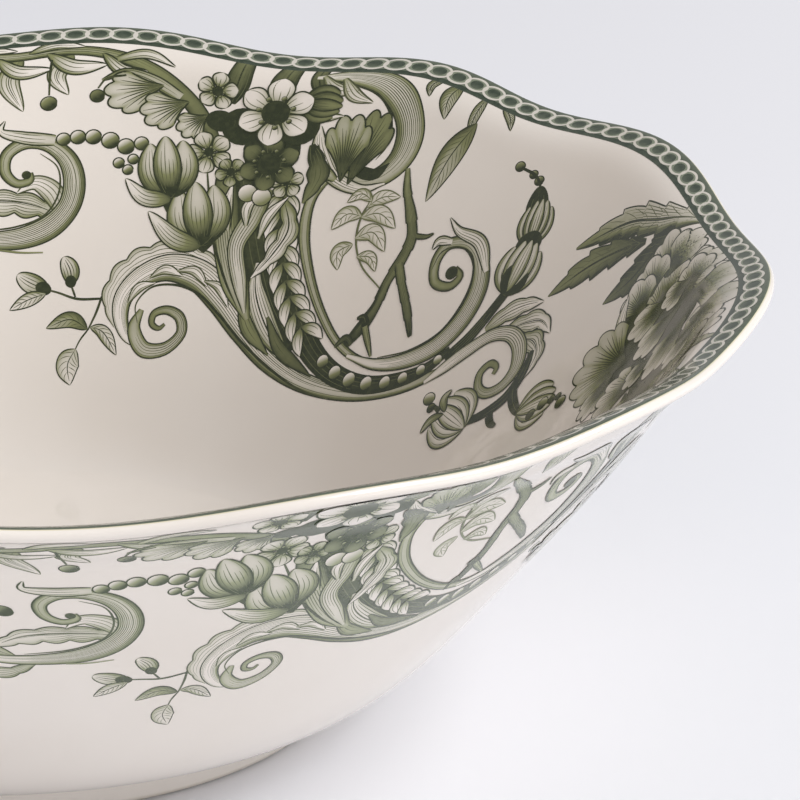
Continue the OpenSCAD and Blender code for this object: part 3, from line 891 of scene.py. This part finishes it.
# the peony's leaves
body(at(72.6,3, 68,8.4, 63.4,13, 58.4,21.8), [2.0, 3.4, 3.2, 0.2], [2.0, 3.2, 3.0, 0.2],
     shade=(0.2, 1.5, -0.1, 0, 0.3), grain=9, ribs=8, teeth=(6, 0.3, True), mid=0.5)
body(at(67.8,13, 64.4,18, 61.6,23.4, 59,30.6), [0.8, 2.8, 3.0, 0.1],
     shade=(0.4, 0.5, 0.1, 0.5, 0.1), ribs=8, grain=5, teeth=(5, 0.3, True), mid=0.4)
body(at(70.8,8, 70.2,14, 69.8,19, 68.2,25.6), [1.9, 3.4, 3.0, 0.1], shade=(0.75, 0.2, 0.3, 0, -0.2),
     ribs=7, teeth=(4, 0.25, True), mid=0.4)

# the peony, its ruffled petals over dark hearts
for a, s, r in ((78.6, 25.6, 5.4), (83, 17, 8), (75, 20, 5), (90, 22, 7), (84, 30, 6), (95, 26, 6)):
    disc(at(a, s)[0], r, 0.95, 1.0, edge=0)
fan(at(79,17), at(77.2,5), 42, 4)
fan(at(85,15), at(84.6,3.8), 42, 4)
fan(at(91,19), at(90.4,8), 44, 4)
fan(at(95,24), at(98,17), 44, 4)
fan(at(97,16), at(96.6,4.8), 46, 4)
fan(at(81,19), at(74.6,10.6), 40, 3)
fan(at(76,14), at(70.8,8), 42, 3)
fan(at(76,14), at(74.6,3.5), 40, 3)
fan(at(80,14), at(81.5,3), 40, 4)
fan(at(84,13), at(88,3), 40, 4, ribs=12)
fan(at(88,14), at(94.4,5), 38, 4, ribs=12)
fan(at(90,20), at(99.6,12), 36, 4, ribs=12)
fan(at(90,26), at(100.6,24), 34, 4, ribs=12)
fan(at(88,29), at(97,34), 34, 4, ribs=12)
fan(at(76,18), at(70.8,13.6), 50, 3)
fan(at(77,21), at(71,19), 45, 3)
body(at(71.6,21, 73.6,24.6, 76.4,27, 79.6,27.6), oval(1.4, 1, 0.8), shade=(0.05, 0.1, 0.4, 0, 0.2),
     grain=3)
fan(at(83,12), at(78.4,7), 45, 3)
fan(at(81.6,27.6), at(72.6,35.4), 48, 6, shade=(0.0, 1.1, 0.25), ribs=21)
fan(at(80,14), at(77.6,25.6), 30, 3)
fan(at(86,13), at(89.6,25.4), 32, 3)
fan(at(83,14), at(82.6,26.4), 28, 3)
fan(at(81,9.6), at(79.4,17.6), 36, 3)
fan(at(80.4,30), at(82.6,40), 32, 4)
fan(at(88.4,26), at(83,35.6), 40, 5)
fan(at(91,24), at(92,36), 34, 4)
fan(at(90,12), at(93.6,20), 36, 3)
fan(at(86,22), at(86.4,30), 36, 3)
leaf(at(97,34, 100,38, 101,45), 2.6, dark=0.6, light=0.3, ribs=8, teeth=(5, 0.25, True))
leaf(at(90,38, 89,43, 86.4,48), 2.4, dark=0.6, light=0.3, ribs=8, teeth=(5, 0.25, True))
leaf(at(98,12, 100.5,8, 101.5,3), 2.0, dark=0.5, light=0.3, ribs=7, teeth=(4, 0.25, True))


def one_sheet(grids):
    """Joins grids of points with tones and layers into one flat sheet of quads."""
    points, tones, layers, faces, start = [], [], [], [], 0
    for grid, tone, layer in grids:
        rows, cols = grid.shape[:2]
        index = start + np.arange(rows * cols).reshape(rows, cols)
        corners = [index[:-1, :-1], index[1:, :-1], index[1:, 1:], index[:-1, 1:]]
        quads = np.stack(corners, axis=-1).reshape(-1, 4)
        a, b = grid[1:, :-1] - grid[:-1, :-1], grid[:-1, 1:] - grid[:-1, :-1]
        if np.sum(a[..., 0] * b[..., 1] - a[..., 1] * b[..., 0]) < 0:
            quads = quads[:, ::-1]
        points.append(grid.reshape(-1, 2))
        tones.append(np.ravel(tone))
        layers.append(np.full(rows * cols, float(layer)))
        faces.append(quads)
        start += rows * cols
    return np.vstack(points), np.concatenate(tones), np.concatenate(layers), np.vstack(faces)


def ribbon(points, half, tone, layer):
    """A line's two edges, as a grid."""
    t = direction(points)
    side = np.stack([t[:, 1], -t[:, 0]], 1) * half[:, None]
    return np.stack([points + side, points - side], axis=1), np.stack([tone, tone], axis=1), layer


washes = one_sheet(painted)
engraving = one_sheet([ribbon(*line) for line in stroked])
ink_lift, layer_step, first_repeat_at, design_middle = 0.02, 0.003, 90, 35


def on_outside(degrees, run):
    """Where a point of the design falls outside: mirrored, narrower, and swaying in height."""
    down = run - design_middle
    return (158.7 - 0.848 * degrees - down * (0.147 - 0.0033 * degrees),
            24.9 + 0.909 * down + 5.9 * np.cos(np.radians(3 * degrees + 38.7)))


def lay_on(name, side, index, sheet, first_run, material):
    """Wraps one repeat of a flat sheet round a face of the wall, cut off short of the rim."""
    flat_points, tones, layers, faces = sheet
    degrees, run = flat_points[:, 0] / degree_mm, flat_points[:, 1]
    if side == 1:
        degrees, run = on_outside(degrees, run)
    kept = faces[(run[faces] > first_run).any(axis=1)]
    used, kept = np.unique(kept, return_inverse=True)
    kept = kept.reshape(-1, 4)[:, ::-1]
    run = np.maximum(run, first_run)[used]
    turn = np.radians(first_repeat_at - degrees - repeat_degrees * index)[used]
    lift = ink_lift + layer_step * layers[used]
    return make_piece(name, wall(side, run, turn, lift), kept, material, tones[used],
                      wall_normal(side, run, turn))


inner_ink = inked("inner_ink", deep=(0.020, 0.028, 0.006), thin=(0.215, 0.225, 0.095))
outer_ink = inked("outer_ink", deep=(0.040, 0.060, 0.022), thin=(0.31, 0.335, 0.19))
for side, where, ink, first_run in ((-1, "inner", inner_ink, 4.12), (1, "outer", outer_ink, 0.9)):
    for index in range(3):
        for sheet, kind in ((washes, "wash"), (engraving, "lines")):
            piece = lay_on(f"{where}_scroll_{index + 1}_{kind}", side, index, sheet, first_run, ink)
            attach(piece, "root")
            if kind == "wash":
                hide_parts(f"{where}_scroll_{index + 1}")
